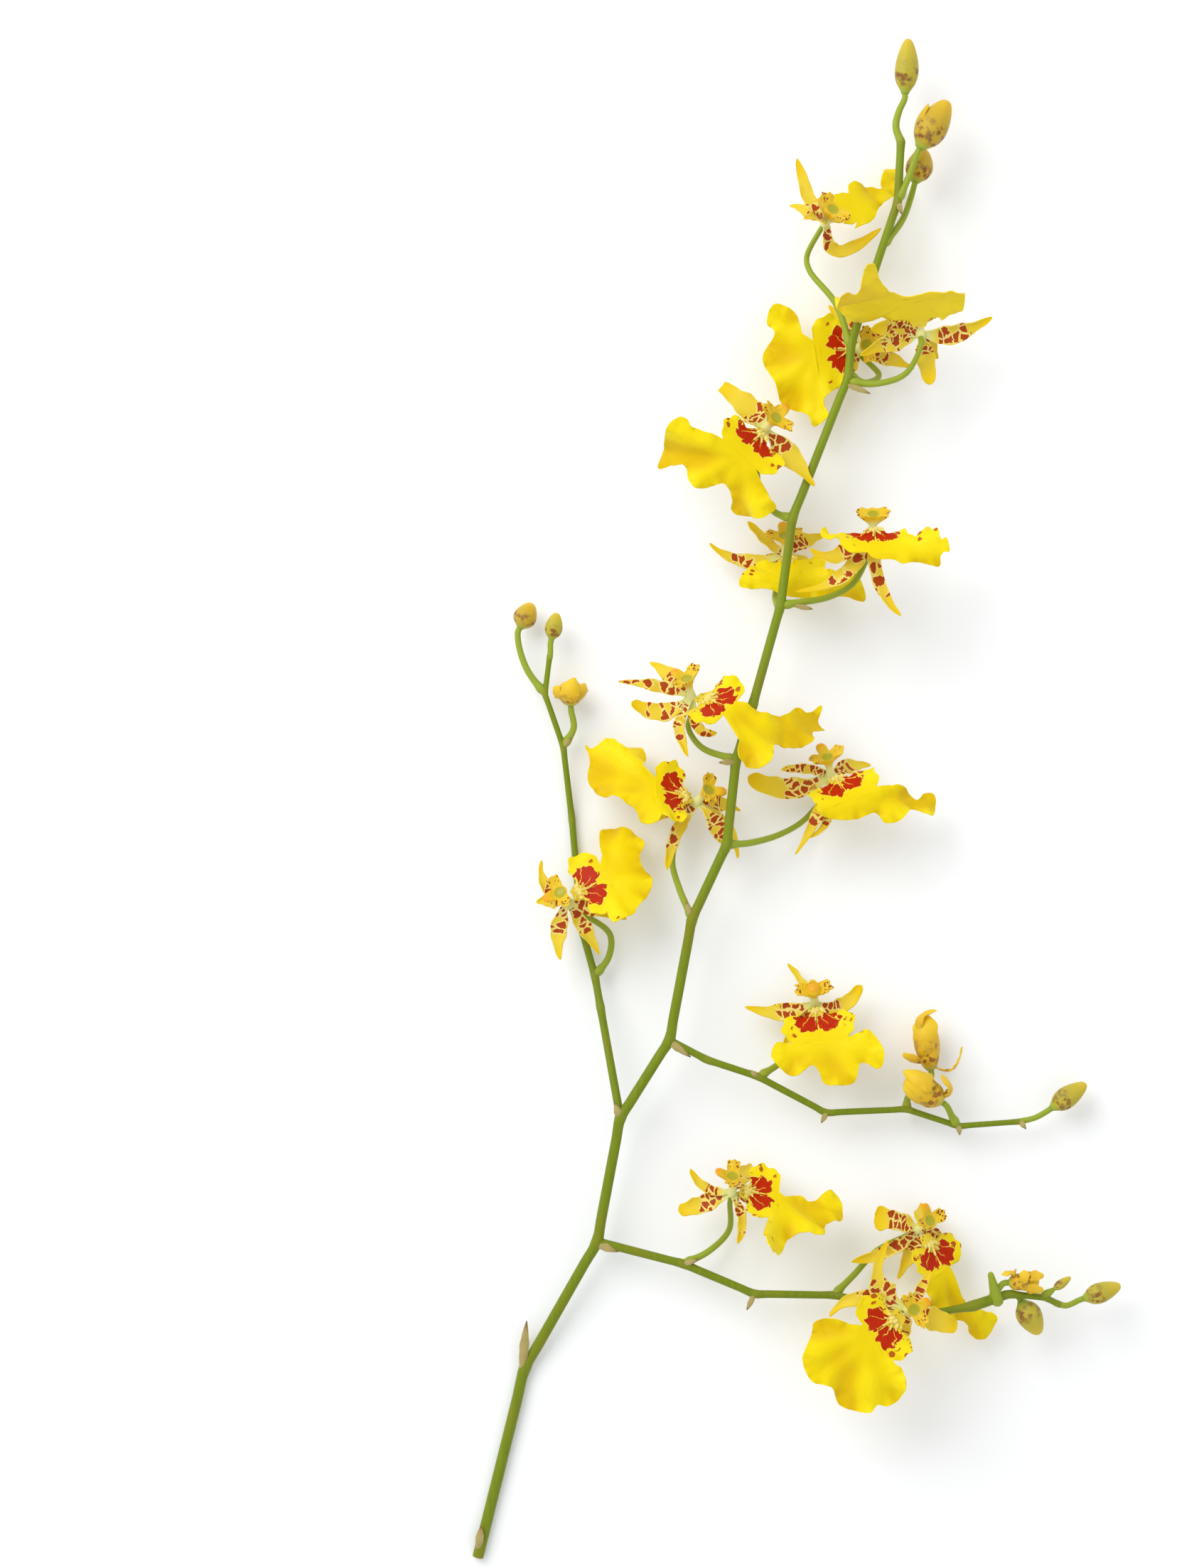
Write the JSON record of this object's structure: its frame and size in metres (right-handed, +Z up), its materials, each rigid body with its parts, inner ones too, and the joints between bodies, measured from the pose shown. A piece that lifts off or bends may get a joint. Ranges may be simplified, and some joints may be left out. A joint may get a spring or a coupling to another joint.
{
  "type": "oncidium orchid flower spray",
  "caption": "Cut branching orchid flower spray lying on its side, with yellow waved-lip blooms, barred sepals, half-open flowers and closed buds on a thin green stem.",
  "frame": {"origin": "on the surface the spray lies on, under the middle of its bounding box", "axes": "+Y along the spray from the cut end of the stem to its tip, +Z up from the surface, +X to the side of the longer branches"},
  "size_m": [0.1835, 0.4311, 0.0484],
  "materials": {
    "stem": "satin",
    "lip": "satin",
    "sepal": "satin",
    "green_bud": "satin",
    "ripe_bud": "satin"
  },
  "bodies": {
    "root": {"bloom_b1_lip": "lip", "bloom_b1_sepals": "sepal", "bloom_b2_first_lip": "lip", "bloom_b2_first_sepals": "sepal", "bloom_b2_second_lip": "lip", "bloom_b2_second_sepals": "sepal", "bloom_b2_third_lip": "lip", "bloom_b2_third_sepals": "sepal", "bloom_b3_lip": "lip", "bloom_b3_sepals": "sepal", "bloom_m1_lip": "lip", "bloom_m1_sepals": "sepal", "bloom_m2_lip": "lip", "bloom_m2_sepals": "sepal", "bloom_m3_lip": "lip", "bloom_m3_sepals": "sepal", "bloom_m4_lip": "lip", "bloom_m4_sepals": "sepal", "bloom_m5_lip": "lip", "bloom_m5_sepals": "sepal", "bloom_t4_lip": "lip", "bloom_t4_sepals": "sepal", "bloom_t5_left_lip": "lip", "bloom_t5_left_sepals": "sepal", "bloom_t5_right_lip": "lip", "bloom_t5_right_sepals": "sepal", "bloom_t6_lip": "lip", "bloom_t6_sepals": "sepal", "bud_first_branch": "green_bud", "bud_second_branch_down": "green_bud", "bud_second_branch_side": "stem", "bud_second_branch_tip": "green_bud", "bud_third_branch_end": "green_bud", "bud_third_branch_tip": "ripe_bud", "bud_top_first": "green_bud", "bud_top_second": "ripe_bud", "bud_top_third": "ripe_bud", "flower_stem": "stem", "opening_first_branch_lower": "ripe_bud", "opening_first_branch_upper": "ripe_bud", "opening_second_branch": "ripe_bud", "opening_third_branch": "ripe_bud"}
  },
  "joints": []
}
